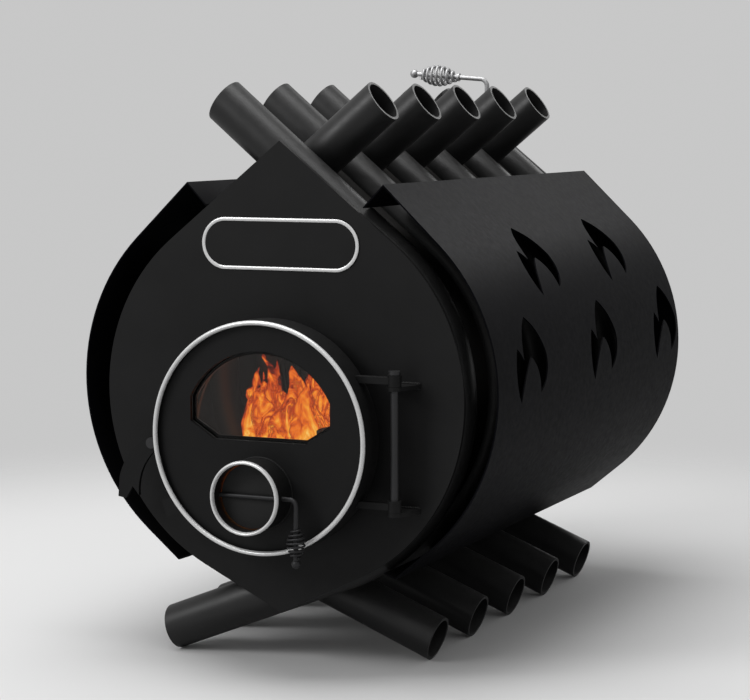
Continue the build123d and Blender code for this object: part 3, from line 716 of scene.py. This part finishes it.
# Air inlet and its throttle
# A short enamelled pipe with a bright rim, and a sheet disc clamped to a bent rod that turns in it.
# The rod, its screws and its wound grip are dark wire.
finish(door_enamel, "air_pipe")
finish(ring_steel, "air_rim")
rounded_rim("air_rim", 0.0046, "door", ring_steel)
throttle_enamel = enamel("throttle_enamel", coat=(0.02, 0.02, 0.02), roughness=0.55, dust=0.2, pebble=0.4)
finish(throttle_enamel, "throttle_disc")
dark_wire = bright_steel("dark_wire", metal=(0.05, 0.05, 0.052), roughness=0.38, marks=0.25, metallic=0.8)
finish(dark_wire, "throttle_shaft", "throttle_screws", "throttle_handle_coil", "window_screws")


# Hinge and latch
# Enamelled bar and plate, welded to the door or the front plate.
# The hinge's pin and the latch's bolt are turned steel.
finish(door_enamel, "hinge_arm_upper", "hinge_arm_lower", "hinge_ear_upper", "hinge_ear_lower",
       "latch_keeper", "latch_lever")
pin_steel = bright_steel("pin_steel", metal=(0.07, 0.07, 0.072), roughness=0.4, marks=0.2, metallic=0.9)
finish(pin_steel, "hinge_pin", "latch_bolt")


# Flue and damper
# A rolled pipe welded through the rear plate, and a disc on a bent rod whose handle stands over the tubes.
# The rod and its wound grip are bare steel wire, grey with a light scale.
finish(tube_enamel, "flue_pipe")
finish(scale_steel, "damper_disc", "damper_bush")
grip_steel = bright_steel("grip_steel", metal=(0.5, 0.5, 0.505), roughness=0.36, marks=0.25, metallic=0.8)
finish(grip_steel, "damper_shaft", "damper_screws", "damper_handle_coil")


# Welds
# Rippled beads run where the parts meet: round the collar, the flue and the air inlet, and along the ears.
# They are laid in short overlapping drops and enamelled over with the rest.
bead_pitch = 0.0032
bead_sides = 10
steps_per_drop = 4
drop_swell = 0.13
unevenness = 0.2
bumps_per_metre = 90
end_girth = 0.35
end_growth = 0.25


def weld_bead(name, shape, coat, body):
    """Finish a bead and let it ride on a body."""
    bmesh.ops.recalc_face_normals(shape, faces=shape.faces)
    bead = new_mesh_object(name, shape)
    bead.data.materials.append(coat)
    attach(bead, body)


def bead_round(name, centre, ring_r, bead_r, coat, body):
    """A bead round a pipe that stands on a plate across Y."""
    drops = round(2 * pi * ring_r / bead_pitch)
    shape = bmesh.new()
    bmesh.ops.create_circle(shape, radius=bead_r, segments=bead_sides,
                            matrix=Matrix.Translation((ring_r, 0, 0)))
    turn_round(shape, drops * steps_per_drop)
    for vert in shape.verts:
        turn, middle = place_on_ring(vert, ring_r)
        ripple = 1 + drop_swell * sin(drops * turn) + unevenness * noise.noise(vert.co * bumps_per_metre)
        vert.co = middle + (vert.co - middle) * ripple
    bmesh.ops.translate(shape, vec=centre, verts=shape.verts)
    weld_bead(name, shape, coat, body)


def bead_along(name, start, end, bead_r, coat, body):
    """A bead along a straight joint, rounded at both ends."""
    way = Vector(end) - Vector(start)
    turn = way.to_track_quat("Z", "Y")
    steps = round(way.length / bead_pitch) * steps_per_drop
    places = []
    for step in range(steps + 1):
        along = way * (step / steps)
        bumps = noise.noise(Vector(start) + along * bumps_per_metre)
        ripple = 1 + drop_swell * cos(2 * pi * step / steps_per_drop) + unevenness * bumps
        end_taper = min(1, end_girth + end_growth * step, end_girth + end_growth * (steps - step))
        girth = bead_r * ripple * end_taper
        places.append(Matrix.LocRotScale(Vector(start) + along, turn, Vector((girth, girth, 1))))
    shape = bmesh.new()
    grow_body(shape, places, bead_sides)
    weld_bead(name, shape, coat, body)


plate_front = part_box("front_plate")[0][1]
plate_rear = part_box("rear_plate")[1][1]
disc_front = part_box("door_disc")[0][1]
for name, pipe, joint_y, clear_of_pipe, bead_r, coat, body in (
        ("collar_weld", "door_collar", plate_front - 0.0006, 0.0004, 0.0024, plate_enamel, "stove"),
        ("flue_weld", "flue_pipe", plate_rear + 0.0002, 0.0004, 0.0022, plate_enamel, "stove"),
        ("air_pipe_weld", "air_pipe", disc_front - 0.0004, 0.0003, 0.0014, door_enamel, "door")):
    low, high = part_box(pipe)
    centre = ((low[0] + high[0]) / 2, joint_y, (low[2] + high[2]) / 2)
    bead_round(name, centre, (high[0] - low[0]) / 2 + clear_of_pipe, bead_r, coat, body)

ear_bead_r = 0.0019
ear_bead_out = 0.0006
ear_end_gap = 0.0005
bead_y = plate_front - ear_bead_out
for name in ("upper", "lower"):
    low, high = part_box(f"hinge_ear_{name}")
    for face_name, z in (("top", high[2] + ear_bead_out), ("foot", low[2] - ear_bead_out)):
        bead_along(f"{name}_ear_{face_name}_weld", (low[0] + ear_end_gap, bead_y, z),
                   (high[0] - ear_end_gap, bead_y, z), ear_bead_r, plate_enamel, "stove")
